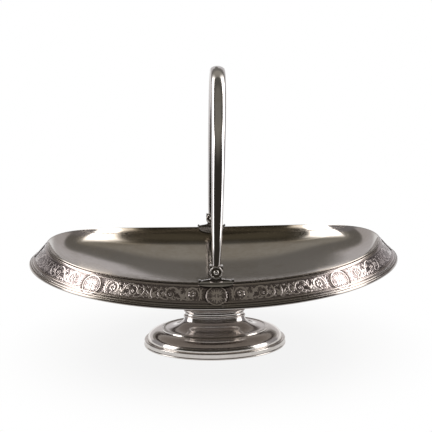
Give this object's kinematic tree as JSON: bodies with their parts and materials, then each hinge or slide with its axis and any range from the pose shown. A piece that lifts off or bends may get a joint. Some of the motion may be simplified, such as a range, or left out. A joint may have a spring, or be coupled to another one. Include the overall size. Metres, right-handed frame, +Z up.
{
  "type": "swing-handled oval footed basket",
  "caption": "Shallow oval silver dish with an engraved turned-down border, an oval pedestal foot and a hollow bow handle that swings from hinges on the long sides.",
  "frame": {"origin": "middle of the foot on the table, with the handle raised and leaning 2.1 degrees to +X", "axes": "+X along the long side of the oval, +Y from the front hinge to the back hinge, +Z up"},
  "size_m": [0.3008, 0.236, 0.2299],
  "materials": {
    "dish_silver": "mirror polished, light tarnish and fine scratches",
    "border_silver": "chased low relief, dark in the recesses",
    "edge_wire_silver": "polished reeds, dark in the grooves",
    "foot_silver": "mirror polished, tarnished in the coves",
    "handle_silver": "mirror polished, light wear",
    "hinge_silver": "polished cast silver, dark in the recesses",
    "pin_silver": "bright polished rivet"
  },
  "bodies": {
    "basket": {"bowl_dish": "dish_silver", "rim_border": "border_silver", "border_edge_wire": "edge_wire_silver", "foot_collar": "foot_silver", "foot_body": "foot_silver", "foot_base_wire": "foot_silver", "hinge_lug_front": "hinge_silver", "hinge_lug_back": "hinge_silver", "hinge_pin_front": "pin_silver", "hinge_pin_back": "pin_silver"},
    "handle": {"handle_tube": "handle_silver", "handle_terminal_front": "hinge_silver", "handle_terminal_back": "hinge_silver"}
  },
  "joints": [
    {"name": "handle_swing", "type": "hinge", "parent": "basket", "child": "handle", "pos_m": [0, 0, 0.0867], "axis": [0, 1, 0], "range_deg": [-88.5, 84.3]}
  ]
}
